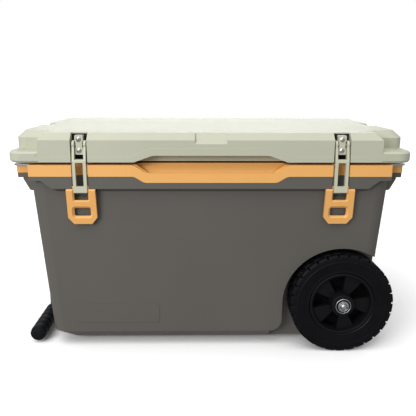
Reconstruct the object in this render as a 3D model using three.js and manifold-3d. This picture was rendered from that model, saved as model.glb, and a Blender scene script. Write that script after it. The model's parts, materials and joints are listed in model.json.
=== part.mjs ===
// A hard-sided cooler on two wheels, in millimetres.
// X runs along the length with the wheels at +X, Y runs from the front (-Y) to the back, Z is up,
// and z = 0 is the ground. The origin is under the middle of the cooler.
import * as THREE from "three";
import { mergeVertices } from "three/addons/utils/BufferGeometryUtils.js";
import ManifoldModule from "manifold-3d";

const wasm = await ManifoldModule();
wasm.setup();
const { Manifold } = wasm;

// ---- General ----
const GAP = 0.3; // left between pieces that touch
const PIN_GAP = 0.3; // left around a pin in its hole
const FAR = 400; // past every piece, for cutters that run out of the object
const ARC_STEP = THREE.MathUtils.degToRad(15);
const SMALL_RADIUS = 5; // arcs and circles up to this radius have fewer sides
const SMALL_ARC_STEP = THREE.MathUtils.degToRad(30);
const MIRRORED = [
  { name: "left", side: -1 },
  { name: "right", side: 1 },
];
const FRONT_AND_REAR = [
  { name: "front", side: -1 },
  { name: "rear", side: 1 },
];

// ---- Casing ----
const WALL = 3.5;
const CASING = { bottom: 10, chamferTop: 31, top: 351.4, cornerRadius: 28 };
const FLOOR_HALF = { x: 290, y: 166 };
const WALL_HALF = { x: 318, y: 189 }; // at the top of the chamfer
const DRAFT = { x: 0.0595, y: 0.055 }; // outward travel of a wall for each mm of height
const SKIRT = { face: 216.5, bottom: 329.2, slopeFoot: 322, slopeDepth: 204, back: 190 };
const SKIRT_HALF = { foot: 281, step: 310, top: 331, stepHeight: 344 };
const END_LIP = { reach: 363, halfDepth: 185, bottom: 345, top: 353.7, cornerRadius: 7 };
const GUSSET = { topReach: 354, footReach: 340.5, foot: 320, inner: 165, outer: 183, width: 12 };
const NAMEPLATE = { x0: -266, x1: -101, z0: 52, z1: 92, cornerRadius: 6, proud: 0.8 };

// ---- Rim band ----
const BAND = { bottom: 351.7, top: 372.8, face: 217, halfLength: 331.5, hollowTop: 362, wall: 4.5 };
const BAND_END = { reach: 364, halfDepth: 185, bottom: 354, cornerRadius: 7 };
const POCKET = { lipTop: 358, lipBottom: 340.4, lipThickness: 7, floor: 351.5, back: 189 };
const POCKET_HALF = { topOuter: 141, topInner: 117.5, bottomOuter: 140, bottomInner: 121.4 };
const SOFT_CORNER = 15;
const LOCK_PLATE = { x0: 334.3, x1: 367, y0: -190, y1: -119, bottom: 368, thickness: 3 };
const LOCK_TAB = { length: 10, thickness: 2.5 };
const PADLOCK_HOLE = { x: 350, y: -171, radius: 4.5 };

// ---- Liner ----
const LINER_WALL = 3;
const LINER_TOP = 372.6;
const LINER_CORNER = 28;
const MOUTH_HALF = { x: 291, y: 166 };
const SHOULDER = { z: 226, halfX: 283, halfY: 155, overlap: 8 };
const DEEP_FLOOR = { z: 48, x0: -270, x1: 118, halfY: 148, topX1: 122 };
const AXLE_SHELF = { z: 132, x0: 60, x1: 272, topX1: 276, halfY: 122, topHalfY: 126, corner: 20 };

// ---- Lid ----
const LID = { bottom: 377, bevelFoot: 417, top: 430, halfX: 369, halfY: 217, bevel: 13.5 };
const FLANGE = { halfX: 370, halfY: 217, top: 397, cornerRadius: 28, rounding: 3.5 };
const NOTCH = { x: 313.5, y: -160 };
const LID_INSIDE = { halfX: 345, halfY: 186, postX: 300, postY: -146, top: 424, panel: 4 };
const PLUG = { halfX: 277, halfY: 152, bottom: 366 };
const GASKET = { outerX: 320, outerY: 181, width: 11 };
const LID_POCKET = { z: 390, halfOuter: 142, halfInner: 106, back: 192 };
const CONTOUR = { sideZ: 388, middleZ: 403, halfOuter: 147, halfInner: 111, depth: 0.7 };
const THUMB_SCOOP = { halfWidth: 29, z: 410, back: 199.5 };
const STRAP_GROOVE = { halfWidth: 33, sideDepth: 5, topDepth: 5, topReach: 14 };
const TOP_LINE = { x0: -256, x1: -115, y: -178, width: 1.6, depth: 0.8 };

// ---- Hinges ----
const HINGE = { x: 200, y: 219.7, z: 375, barrelRadius: 5, pinRadius: 2, halfWidth: 30, knuckle: 11 };
const HINGE_PLATE = { y0: 217.3, y1: 219.5, leafFoot: 334, leafTop: 368, lidFoot: 384, lidTop: 412 };

// ---- Latches ----
const LATCH_X = 238;
const CHANNEL = { halfWidth: 15, lidBack: 195.3, bodyBack: 200, foot: 312 };
const LATCH_PAD = { halfWidth: 14.7, front: -197.5, back: -195.6, z0: 378, z1: 428 };
const BRACKET = { halfWidth: 7.5, waist: 5.8, waistFall: 4, front: -210.5, back: -197.8, z0: 391, z1: 426 };
const PIVOT = { y: -206.5, z: 409, pinRadius: 2, eyeRadius: 7.8 };
const LATCH_SCREW = { heights: [418.5, 398.5], headRadius: 4.75, shankRadius: 2, shankEnd: -199.5 };
const LINK = { halfWidth: 12.5, eyeInner: 8.3, windowHalf: 7, windowFoot: 334, windowTop: 377 };
const LINK_SIDE = { crossbarTop: 383, elbowZ: 380, foot: 321.5, front: -220.3, back: -213.5 };
const LINK_PIN = { y: -215.5, z: 325, radius: 1.6, halfLength: 25 };
const LEVER = { halfTop: 26.5, halfWide: 27, halfFoot: 15.5, wideZ: 273.6, foot: 260.5, eyeRadius: 3.8 };
const LEVER_SLOT = { halfWidth: 13, z0: 307.5, z1: 345, cornerRadius: 1.5, bevel: 2.6 };
const LEVER_WINDOW = { halfWidth: 15, z0: 276.5, z1: 292, cornerRadius: 3, bevel: 4 };
const LEVER_ROOM = { halfWidth: 30, back: -206.8, foot: 312 };
const LEVER_FOOT_Y = { front: -210.3, back: -204.6 };
const TOE = { x0: 13, x1: 14.6, y0: -218, y1: -213, top: 334.5 };

// ---- Wheels and axle ----
const WHEEL = { x: 256, y: 193, z: 100, radius: 100, halfWidth: 24 };
const WELL = { radius: 112.5, z: 95.5, cornerRadius: 23, wall: 163 };
const RIM = { radius: 63, inner: 56, halfWidth: 21.5, hubRadius: 22.5, hubFront: -31, hubBack: 26.4 };
const SPOKES = { count: 5, first: 66, width: 36, front: -15, back: -3 };
const RIM_WEB = { front: 12, back: 15 };
const BUSH = { radius: 9, front: -30.6, back: 26 };
const HUB_RING = { radius: 15, inner: 13, front: -33, back: -31.3 };
const AXLE = { radius: 5.8, shoulder: 228, tip: 231 };
const SLEEVE_RADIUS = 9.5;
const SPACER = { radius: 14, inner: 163.3, outer: 166.3 };
const PUSH_NUT = { radius: 10.6, inner: 224.4, outer: 227 };

// ---- Tow handle ----
const HANDLE = { x: -351, z: 300, length: 280, armY: 50, armHalfX: 7, armHalfY: 7, eyeRadius: 9 };
const HANDLE_BAR = { radius: 10, halfLength: 175.7 };
const GRIP = { radius: 15.8, inner: 58, outer: 175.7 };
const GRIP_CAP = { radius: 15.4, inner: 176, outer: 179 };
const HANDLE_PIN = { radius: 4, halfLength: 13.5 };
const EAR = { inner: 7.6, outer: 11.6, radius: 9, z0: 282, z1: 318, plateThickness: 3 };

// ---- Feet and drain ----
const FOOT = { x: -250, y: 126, halfX: 30, halfY: 15, height: 9.7, cornerRadius: 8 };
const DRAIN = { z: 62, bore: 8, tubeRadius: 10.5, tubeStart: 119.3 };
const DRAIN_PLUG = { stemRadius: 7.6, stemLength: 28, flangeRadius: 16, flangeThickness: 4.1 };
const DRAIN_GRIP = { halfY: 12, halfZ: 3, length: 9 };
const DRAIN_SEAL = { inner: 8.2, radius: 14, thickness: 1.5 };

// ---- Materials ----
const matter = (color, roughness, metalness = 0) =>
  new THREE.MeshStandardMaterial({ color, roughness, metalness });
const grey = matter(0x65625c, 0.55);
const orange = matter(0xf1bb70, 0.5);
const sage = matter(0xbcbda6, 0.5);
const white = matter(0xe6e7e2, 0.45);
const foam = matter(0xe8dcae, 0.95);
const rubber = matter(0x1b1b1b, 0.85);
const blackPlastic = matter(0x17181a, 0.6);
const gripRubber = matter(0x14171b, 0.8);
const steel = matter(0xc9cccd, 0.3, 1);
const sageMetal = matter(0xb9bca6, 0.4, 0.3);

// ---- Solids ----

// A closed three.js geometry as a manifold-3d solid.
function solidOf(geometry) {
  const loose = geometry.index ? geometry.toNonIndexed() : geometry;
  const bare = new THREE.BufferGeometry().setAttribute("position", loose.getAttribute("position"));
  const welded = mergeVertices(bare, 1e-3);
  const corners = welded.index.array;
  const triVerts = [];
  for (let i = 0; i < corners.length; i += 3) {
    const [a, b, c] = corners.slice(i, i + 3);
    if (a !== b && b !== c && c !== a) triVerts.push(a, b, c);
  }
  const mesh = new wasm.Mesh({
    numProp: 3,
    vertProperties: welded.attributes.position.array,
    triVerts: new Uint32Array(triVerts),
  });
  return new Manifold(mesh);
}

// A manifold-3d solid as a flat-shaded three.js geometry.
function geometryOf(solid) {
  const mesh = solid.getMesh();
  const geometry = new THREE.BufferGeometry();
  geometry.setAttribute("position", new THREE.BufferAttribute(mesh.vertProperties, 3));
  geometry.setIndex(new THREE.BufferAttribute(mesh.triVerts, 1));
  const flat = geometry.toNonIndexed();
  flat.computeVertexNormals();
  return flat;
}

const join = (...solids) => Manifold.union(solids.flat());
const cut = (solid, ...cutters) => solid.subtract(Manifold.union(cutters.flat()));

// The points of a closed outline whose corners are [u, v, radius]; a corner with no radius is sharp.
function outlinePoints(corners) {
  const places = corners.map(([u, v]) => new THREE.Vector2(u, v));
  return corners.flatMap(([, , radius = 0], i) => {
    const here = places[i];
    if (radius === 0) return [here];
    const toLast = places.at(i - 1).clone().sub(here).normalize();
    const toNext = places[(i + 1) % places.length].clone().sub(here).normalize();
    const halfAngle = Math.acos(THREE.MathUtils.clamp(toLast.dot(toNext), -1, 1)) / 2;
    const towardCentre = toLast.clone().add(toNext).normalize();
    const centre = here.clone().addScaledVector(towardCentre, radius / Math.sin(halfAngle));
    const start = here.clone().addScaledVector(toLast, radius / Math.tan(halfAngle)).sub(centre);
    const turn = Math.sign(toNext.cross(toLast)) * -(Math.PI - 2 * halfAngle);
    const step = radius > SMALL_RADIUS ? ARC_STEP : SMALL_ARC_STEP;
    const steps = Math.max(2, Math.ceil(Math.abs(turn) / step - 0.01));
    const origin = new THREE.Vector2();
    return Array.from({ length: steps + 1 }, (_, k) =>
      start.clone().rotateAround(origin, (-turn * k) / steps).add(centre),
    );
  });
}

// Corners of a rectangle, all rounded alike.
const rectangle = (u0, u1, v0, v1, radius = 0) => [
  [u0, v0, radius],
  [u1, v0, radius],
  [u1, v1, radius],
  [u0, v1, radius],
];

// Corners of a many-sided circle.
const circle = (u, v, radius, sides = radius > SMALL_RADIUS ? 18 : 12) =>
  Array.from({ length: sides }, (_, i) => {
    const angle = (2 * Math.PI * i) / sides;
    return [u + radius * Math.cos(angle), v + radius * Math.sin(angle)];
  });

// An outline and its mirror image, as one closed outline: corners run from the middle outwards.
const mirrored = (corners) => [
  ...corners,
  ...corners.toReversed().map(([u, v, radius]) => [-u, v, radius]),
];

const X_AXIS = new THREE.Vector3(1, 0, 0);
const Y_AXIS = new THREE.Vector3(0, 1, 0);
const Z_AXIS = new THREE.Vector3(0, 0, 1);
const ALONG = {
  x: new THREE.Matrix4().makeBasis(Y_AXIS, Z_AXIS, X_AXIS),
  y: new THREE.Matrix4().makeBasis(X_AXIS, Z_AXIS, Y_AXIS.clone().negate()),
  z: new THREE.Matrix4(),
};

// An outline drawn in the plane across an axis and extruded along that axis.
// The outline is (Y, Z) along x, (X, Z) along y and (X, Y) along z.
function prism(axis, corners, ends) {
  const [from, to] = [Math.min(...ends), Math.max(...ends)];
  const shape = new THREE.Shape(outlinePoints(corners));
  const geometry = new THREE.ExtrudeGeometry(shape, { depth: to - from, bevelEnabled: false });
  geometry.translate(0, 0, axis === "y" ? -to : from);
  return solidOf(geometry.applyMatrix4(ALONG[axis]));
}

const box = (x0, x1, y0, y1, z0, z1) =>
  prism("z", rectangle(Math.min(x0, x1), Math.max(x0, x1), y0, y1), [z0, z1]);

// A tube or washer along an axis.
const ring = (axis, [u, v], outer, inner, ends) =>
  cut(
    prism(axis, circle(u, v, outer), ends),
    prism(axis, circle(u, v, inner), [Math.min(...ends) - 1, Math.max(...ends) + 1]),
  );

// The convex body through a stack of rounded rectangles: { z, x: [x0, x1], y: [y0, y1], radius }.
function stacked(levels) {
  const points = levels.flatMap(({ z, x, y, radius }) =>
    outlinePoints(rectangle(x[0], x[1], y[0], y[1], radius)).map((p) => [p.x, p.y, z]),
  );
  return Manifold.hull(points);
}

const level = (z, halfX, halfY, radius) => ({
  z,
  x: [-halfX, halfX],
  y: [-halfY, halfY],
  radius,
});

// A solid of revolution about Y: the profile is [radius, y] points, walked anticlockwise.
function turned(profile, sides) {
  const points = profile.map(([radius, y]) => new THREE.Vector2(radius, y));
  return solidOf(new THREE.LatheGeometry([...points, points[0]], sides));
}

function addPiece(group, name, solid, material) {
  const mesh = new THREE.Mesh(geometryOf(solid), material);
  mesh.name = name;
  group.add(mesh);
}

// ---- Casing, foam and liner ----

const wallHalf = (axis, z) => WALL_HALF[axis] + (z - CASING.chamferTop) * DRAFT[axis];

// The tapering body up to height z, with every face moved outward by grow.
function casingBody(grow, z) {
  const radius = CASING.cornerRadius;
  return stacked([
    level(CASING.bottom - grow, FLOOR_HALF.x + grow, FLOOR_HALF.y + grow, radius - 6),
    level(CASING.chamferTop, WALL_HALF.x + grow, WALL_HALF.y + grow, radius),
    level(z, wallHalf("x", z) + grow, wallHalf("y", z) + grow, radius),
  ]);
}

// The space of one wheel well, with every face moved outward by grow.
function wheelWell(side, grow) {
  const left = WHEEL.x - WELL.radius;
  const ends = [side * (WELL.wall - grow), side * FAR];
  const cornerX = left - WELL.cornerRadius;
  const cornerZ = CASING.chamferTop + WELL.cornerRadius;
  const flare = cut(
    prism("y", rectangle(cornerX - grow, left, -FAR, cornerZ), ends),
    prism("y", circle(cornerX, cornerZ, WELL.cornerRadius - grow, 48), ends),
    prism("y", rectangle(-FAR, cornerX, cornerZ - WELL.cornerRadius + grow, cornerZ), ends),
  );
  return join(
    prism("y", circle(WHEEL.x, WELL.z, WELL.radius + grow, 60), ends),
    prism("y", rectangle(left - grow, FAR, -FAR, WELL.z), ends),
    flare,
  );
}

// The hollow of the casing, shrunk by gap on every face.
function casingHollow(gap, z) {
  const inset = WALL + gap;
  const wells = FRONT_AND_REAR.map(({ side }) => wheelWell(side, inset));
  const latchBacks = MIRRORED.map(({ side }) => {
    const half = CHANNEL.halfWidth + inset;
    const x = side * LATCH_X;
    return box(x - half, x + half, -FAR, -CHANNEL.bodyBack + inset, CHANNEL.foot - inset, FAR);
  });
  const pocketHalf = POCKET_HALF.bottomOuter + inset;
  const pocketBack = -POCKET.back + 1 + inset;
  const pocketShelf = box(-pocketHalf, pocketHalf, -FAR, pocketBack, POCKET.lipBottom - inset, FAR);
  return cut(casingBody(-inset, z), wells, latchBacks, pocketShelf);
}

// The liner's outer shape up to height z, with every face moved outward by grow.
function linerBody(grow, z) {
  const radius = LINER_CORNER;
  const halfX = SHOULDER.halfX + grow;
  const halfY = SHOULDER.halfY + grow;
  const loftTop = SHOULDER.z + SHOULDER.overlap;
  const offCentre = (at, x0, x1, half, corner) => ({
    z: at,
    x: [x0, x1 + grow],
    y: [-half - grow, half + grow],
    radius: corner,
  });
  const upper = stacked([
    level(SHOULDER.z - grow, halfX, halfY, radius),
    level(z, MOUTH_HALF.x + grow, MOUTH_HALF.y + grow, radius),
  ]);
  const deep = stacked([
    offCentre(DEEP_FLOOR.z - grow, DEEP_FLOOR.x0 - grow, DEEP_FLOOR.x1, DEEP_FLOOR.halfY, radius),
    offCentre(loftTop, -halfX, DEEP_FLOOR.topX1, SHOULDER.halfY, radius),
  ]);
  const shelf = AXLE_SHELF;
  const overAxle = stacked([
    offCentre(shelf.z - grow, shelf.x0, shelf.x1, shelf.halfY, shelf.corner),
    offCentre(loftTop, shelf.x0, shelf.topX1, shelf.topHalfY, shelf.corner),
  ]);
  return join(upper, deep, overAxle);
}

// The skirt under one long side of the band, facing -Y; its foot slopes back, and its ends run up.
function skirt() {
  const section = [
    [-SKIRT.face, CASING.top],
    [-SKIRT.face, SKIRT.bottom],
    [-SKIRT.slopeDepth, SKIRT.slopeFoot],
    [-SKIRT.back, SKIRT.slopeFoot],
    [-SKIRT.back, CASING.top],
  ];
  const face = mirrored([
    [SKIRT_HALF.foot, SKIRT.slopeFoot, 6],
    [SKIRT_HALF.step, SKIRT_HALF.stepHeight, 6],
    [SKIRT_HALF.top, SKIRT_HALF.stepHeight, 2],
    [SKIRT_HALF.top, CASING.top],
  ]);
  const ends = [-SKIRT_HALF.top, SKIRT_HALF.top];
  return prism("x", section, ends).intersect(prism("y", face, [-SKIRT.face - 1, -SKIRT.back + 1]));
}

// The grip lip that runs round one end of the casing, with its two gussets.
function endLip(side) {
  const plan = (start) => {
    const corners = rectangle(start, END_LIP.reach, -END_LIP.halfDepth, END_LIP.halfDepth);
    corners[1][2] = END_LIP.cornerRadius;
    corners[2][2] = END_LIP.cornerRadius;
    return corners;
  };
  const web = [
    [GUSSET.topReach, END_LIP.bottom + 1, 3],
    [GUSSET.footReach, GUSSET.foot, 6],
    [GUSSET.footReach - GUSSET.width, GUSSET.foot],
    [GUSSET.footReach - GUSSET.width, END_LIP.bottom + 1],
  ];
  const gussets = FRONT_AND_REAR.map((end) =>
    prism("y", web, [end.side * GUSSET.inner, end.side * GUSSET.outer]),
  );
  const lip = join(
    prism("z", plan(WALL_HALF.x), [END_LIP.bottom, CASING.top]),
    prism("z", plan(BAND.halfLength + GAP), [END_LIP.bottom, END_LIP.top]),
    gussets,
  );
  return side > 0 ? lip : lip.rotate([0, 0, 180]);
}

// The outline, in X and Z, of the dip in the band's lower edge.
const bandDip = (bandBottom, lipBottom, top) =>
  mirrored([
    [POCKET_HALF.bottomInner, lipBottom, SOFT_CORNER],
    [POCKET_HALF.bottomOuter, bandBottom, SOFT_CORNER],
    [POCKET_HALF.bottomOuter + SOFT_CORNER, bandBottom],
    [POCKET_HALF.bottomOuter + SOFT_CORNER, top],
  ]);

// The upright channel that each latch lies in, through the band and the skirt.
function latchChannels(grow, foot) {
  return MIRRORED.map(({ side }) => {
    const x = side * LATCH_X;
    const half = CHANNEL.halfWidth + grow;
    return box(x - half, x + half, -FAR, -CHANNEL.bodyBack + grow, foot, FAR);
  });
}

// Room under the skirt for the arms of each lever.
const leverRooms = MIRRORED.map(({ side }) => {
  const { halfWidth, back, foot } = LEVER_ROOM;
  const x = side * LATCH_X;
  return box(x - halfWidth, x + halfWidth, -FAR, back, foot, SKIRT.bottom);
});

const padlockHoles = MIRRORED.map(({ side }) =>
  prism("z", circle(side * PADLOCK_HOLE.x, PADLOCK_HOLE.y, PADLOCK_HOLE.radius), [0, LID.top + 1]),
);

function bodyShell() {
  const plateOutline = rectangle(
    NAMEPLATE.x0,
    NAMEPLATE.x1,
    NAMEPLATE.z0,
    NAMEPLATE.z1,
    NAMEPLATE.cornerRadius,
  );
  const plateSlab = prism("y", plateOutline, [-FAR, -FLOOR_HALF.y]);
  const nameplate = casingBody(NAMEPLATE.proud, CASING.top).intersect(plateSlab);
  const frontSkirt = skirt();
  const lips = MIRRORED.map(({ side }) => endLip(side));
  const outside = join(
    casingBody(0, CASING.top),
    nameplate,
    frontSkirt,
    frontSkirt.rotate([0, 0, 180]),
    lips,
  );
  const wells = FRONT_AND_REAR.map(({ side }) => wheelWell(side, 0));
  const dip = bandDip(CASING.top, POCKET.lipBottom - GAP, FAR);
  const axleHole = prism("y", circle(WHEEL.x, WHEEL.z, AXLE.radius + PIN_GAP), [-FAR, FAR]);
  const drainHole = prism("x", circle(0, DRAIN.z, DRAIN.bore + PIN_GAP), [280, FAR]);
  return cut(
    outside,
    wells,
    casingHollow(0, CASING.top + 1),
    latchChannels(0, CHANNEL.foot),
    leverRooms,
    padlockHoles,
    prism("y", dip, [-FAR, -POCKET.back + 1]),
    axleHole,
    drainHole,
  );
}

function bodyFoam() {
  const axleRoom = prism("y", circle(WHEEL.x, WHEEL.z, SLEEVE_RADIUS + GAP), [-FAR, FAR]);
  const drainRoom = prism("x", circle(0, DRAIN.z, DRAIN.tubeRadius + GAP), [100, FAR]);
  return cut(
    casingHollow(GAP, CASING.top - GAP),
    linerBody(GAP, LINER_TOP),
    axleRoom,
    drainRoom,
  );
}

function innerLiner() {
  const drainHole = prism("x", circle(0, DRAIN.z, DRAIN.bore), [90, 130]);
  return cut(linerBody(0, LINER_TOP), linerBody(-LINER_WALL, LINER_TOP + 1), drainHole);
}

// ---- Rim band and lock plates ----

function bandPlan(inset, ends, bottom, top) {
  const halfLength = BAND.halfLength - inset;
  const face = BAND.face - inset;
  const reach = BAND_END.reach - inset;
  const depth = BAND_END.halfDepth - inset;
  return join(
    prism("z", rectangle(-halfLength, halfLength, -face, face, 2), [bottom, top]),
    prism("z", rectangle(-reach, reach, -depth, depth, ends), [Math.max(bottom, BAND_END.bottom), top]),
  );
}

// The finger pocket: a cut over the front lip, and a scoop behind it that rises to the back.
function fingerPocket() {
  const lipCut = mirrored([
    [POCKET_HALF.topInner, POCKET.lipTop, SOFT_CORNER],
    [POCKET_HALF.topOuter, BAND.top, SOFT_CORNER],
    [POCKET_HALF.topOuter + SOFT_CORNER, BAND.top],
    [POCKET_HALF.topOuter + SOFT_CORNER, FAR],
  ]);
  const lipBack = -BAND.face + POCKET.lipThickness;
  const section = [
    [lipBack - 1, BAND.top + 5],
    [lipBack, POCKET.lipTop],
    [lipBack + 2, POCKET.floor, 3],
    [-POCKET.back, BAND.top - 1],
    [-POCKET.back, BAND.top + 5],
  ];
  const scoopHalf = POCKET_HALF.topOuter - 4;
  const scoopFoot = POCKET_HALF.topInner - 14;
  const scoopFace = mirrored([
    [scoopFoot, POCKET.floor - 1, 12],
    [scoopHalf, BAND.top, 8],
    [scoopHalf, BAND.top + 6],
  ]);
  const scoop = prism("x", section, [-scoopHalf, scoopHalf]).intersect(
    prism("y", scoopFace, [-FAR, -POCKET.back + 1]),
  );
  return [prism("y", lipCut, [-FAR, lipBack + 0.01]), scoop];
}

const hingeRooms = MIRRORED.map(({ side }) => {
  const x = side * HINGE.x;
  const half = HINGE.halfWidth + 2;
  return prism("x", circle(HINGE.y, HINGE.z, HINGE.barrelRadius + 0.8), [x - half, x + half]);
});

function rimBand() {
  const dip = bandDip(BAND.bottom, POCKET.lipBottom, BAND.top);
  const outside = join(
    bandPlan(0, BAND_END.cornerRadius, BAND.bottom, BAND.top),
    prism("y", dip, [-BAND.face, -POCKET.back + 1 - GAP]),
  );
  const frontHalf = POCKET_HALF.topOuter + SOFT_CORNER + BAND.wall;
  const hollow = cut(
    bandPlan(BAND.wall, BAND_END.cornerRadius - BAND.wall, BAND.bottom - 1, BAND.hollowTop),
    box(-MOUTH_HALF.x - 5, MOUTH_HALF.x + 5, -MOUTH_HALF.y - 5, MOUTH_HALF.y + 5, 0, FAR),
    box(-frontHalf, frontHalf, -FAR, -POCKET.back + BAND.wall, 0, FAR),
    latchChannels(BAND.wall, 0),
    MIRRORED.map(({ side }) =>
      prism("z", circle(side * PADLOCK_HOLE.x, PADLOCK_HOLE.y, PADLOCK_HOLE.radius + 4), [0, FAR]),
    ),
  );
  const plateRooms = MIRRORED.map(({ side }) =>
    box(
      side * (LOCK_PLATE.x0 - GAP),
      side * FAR,
      -FAR,
      LOCK_PLATE.y1 + GAP,
      LOCK_PLATE.bottom - GAP,
      FAR,
    ),
  );
  return cut(
    outside,
    hollow,
    linerBody(GAP, LINER_TOP + 1),
    latchChannels(0, 0),
    fingerPocket(),
    hingeRooms,
    plateRooms,
    padlockHoles,
  );
}

// The stainless plate at one front corner, with its small bent tab at the end of the band.
function lockPlate(side) {
  const top = LOCK_PLATE.bottom + LOCK_PLATE.thickness;
  const plan = rectangle(LOCK_PLATE.x0, LOCK_PLATE.x1, LOCK_PLATE.y0, LOCK_PLATE.y1, 2);
  plan[1][2] = 10;
  plan[2][2] = 8;
  const tab = [
    [LOCK_PLATE.x0, LOCK_PLATE.bottom + 1],
    [LOCK_PLATE.x0, LOCK_PLATE.bottom + 1 - LOCK_TAB.length],
    [LOCK_PLATE.x0 + LOCK_TAB.length, LOCK_PLATE.bottom + 1],
  ];
  const plate = join(
    prism("z", plan, [LOCK_PLATE.bottom, top]),
    prism("y", tab, [LOCK_PLATE.y0, LOCK_PLATE.y0 + LOCK_TAB.thickness]),
  );
  const placed = side > 0 ? plate : plate.mirror([1, 0, 0]);
  return cut(placed, padlockHoles);
}

// ---- Lid ----

// The notched plan of the lid above its flange.
const lidPlan = mirrored([
  [NOTCH.x, -LID.halfY, 4],
  [NOTCH.x, NOTCH.y, 16],
  [LID.halfX, NOTCH.y, 20],
  [LID.halfX, LID.halfY, 26],
]);

// The plan of the hollow inside the lid, shrunk by gap.
const lidHollow = (gap, z0, z1) => {
  const { halfX, halfY, postX, postY } = LID_INSIDE;
  const plan = mirrored([
    [postX - gap, -halfY + gap, 12],
    [postX - gap, postY + gap, 6],
    [halfX - gap, postY + gap, 12],
    [halfX - gap, halfY - gap, 20],
  ]);
  return prism("z", plan, [z0, z1]);
};

// The bevelled top: the plan, drawn in towards the middle at the top face.
function bevelledTop() {
  const shape = new THREE.Shape(outlinePoints(lidPlan));
  const rise = LID.top - LID.bevelFoot;
  const geometry = new THREE.ExtrudeGeometry(shape, { depth: rise, bevelEnabled: false });
  const places = geometry.getAttribute("position");
  for (let i = 0; i < places.count; i++) {
    if (places.getZ(i) < rise / 2) continue;
    places.setX(i, (places.getX(i) * (LID.halfX - LID.bevel)) / LID.halfX);
    places.setY(i, (places.getY(i) * (LID.halfY - LID.bevel)) / LID.halfY);
  }
  return solidOf(geometry.translate(0, 0, LID.bevelFoot));
}

function lidShell() {
  const { halfX, halfY, cornerRadius, rounding } = FLANGE;
  const flange = stacked([
    level(LID.bottom, halfX - rounding, halfY - rounding + 1, cornerRadius - rounding),
    level(LID.bottom + rounding, halfX, halfY, cornerRadius),
    level(FLANGE.top - rounding, halfX, halfY, cornerRadius),
    level(FLANGE.top, halfX - rounding, halfY - rounding, cornerRadius - rounding),
  ]);
  const outside = join(
    flange,
    prism("z", lidPlan, [LID.bottom + 1, LID.bevelFoot]),
    bevelledTop(),
  );
  const channels = MIRRORED.map(({ side }) => {
    const x = side * LATCH_X;
    const half = CHANNEL.halfWidth;
    return box(x - half, x + half, -FAR, -CHANNEL.lidBack, 0, FAR + 100);
  });
  const pocket = mirrored([
    [LID_POCKET.halfInner, LID_POCKET.z, SOFT_CORNER],
    [LID_POCKET.halfOuter, LID.bottom, SOFT_CORNER],
    [LID_POCKET.halfOuter + SOFT_CORNER, LID.bottom],
    [LID_POCKET.halfOuter + SOFT_CORNER, 0],
  ]);
  const contour = mirrored([
    [CONTOUR.halfInner, CONTOUR.middleZ, 20],
    [CONTOUR.halfOuter, CONTOUR.sideZ, 20],
    [NOTCH.x + 1, CONTOUR.sideZ],
    [NOTCH.x + 1, FAR + 100],
  ]);
  const scoop = [
    [-FAR, THUMB_SCOOP.z],
    [-LID.halfY, THUMB_SCOOP.z],
    [-THUMB_SCOOP.back, LID.top],
    [-THUMB_SCOOP.back, LID.top + 10],
    [-FAR, LID.top + 10],
  ];
  const topLine = box(
    TOP_LINE.x0,
    TOP_LINE.x1,
    TOP_LINE.y,
    TOP_LINE.y + TOP_LINE.width,
    LID.top - TOP_LINE.depth,
    FAR + 100,
  );
  const strapGrooves = MIRRORED.map(({ side }) => {
    const { halfWidth, sideDepth, topDepth, topReach } = STRAP_GROOVE;
    const across = [
      [side * (LID.halfX - sideDepth), FLANGE.top],
      [side * FAR, FLANGE.top],
      [side * FAR, LID.top + 5],
      [side * (LID.halfX - LID.bevel - topReach), LID.top + 5],
      [side * (LID.halfX - LID.bevel - topReach), LID.top],
      [side * (LID.halfX - LID.bevel - sideDepth), LID.top - topDepth],
      [side * (LID.halfX - sideDepth), LID.bevelFoot - topDepth],
    ];
    return prism("y", across, [-halfWidth, halfWidth]);
  });
  return cut(
    outside,
    channels,
    prism("y", pocket, [-FAR, -LID_POCKET.back]),
    prism("y", contour, [-FAR, -LID.halfY + CONTOUR.depth]),
    prism("x", scoop, [-THUMB_SCOOP.halfWidth, THUMB_SCOOP.halfWidth]),
    topLine,
    strapGrooves,
    hingeRooms,
    padlockHoles,
    lidHollow(0, LID.bottom - 1, LID_INSIDE.top),
  );
}

function lidLiner() {
  const { halfX, halfY, bottom } = PLUG;
  return join(
    lidHollow(GAP, LID.bottom, LID.bottom + LID_INSIDE.panel),
    stacked([
      level(bottom, halfX - 4, halfY - 4, 24),
      level(LID.bottom + 1, halfX, halfY, 28),
    ]),
  );
}

function lidGasket() {
  const { outerX, outerY, width } = GASKET;
  const ends = [BAND.top + GAP, LID.bottom - GAP];
  const inner = rectangle(width - outerX, outerX - width, width - outerY, outerY - width, 24);
  return cut(
    prism("z", rectangle(-outerX, outerX, -outerY, outerY, 35), ends),
    prism("z", inner, [0, FAR]),
  );
}

// ---- Hinges ----

// One half of a hinge, about x = 0: a plate with the barrels between the given distances from the middle.
function hingeHalf(plateEnds, barrels) {
  const { y, z, barrelRadius, pinRadius, halfWidth } = HINGE;
  const { y0, y1 } = HINGE_PLATE;
  const pieces = barrels.flatMap((ends) => [
    prism("x", circle(y, z, barrelRadius), ends),
    box(ends[0], ends[1], y0, y1, Math.min(plateEnds[1] - 1, z), Math.max(plateEnds[0] + 1, z)),
  ]);
  return cut(
    join(prism("y", rectangle(-halfWidth, halfWidth, ...plateEnds, 4), [y0, y1]), pieces),
    prism("x", circle(y, z, pinRadius + PIN_GAP), [-FAR, FAR]),
  );
}

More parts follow.
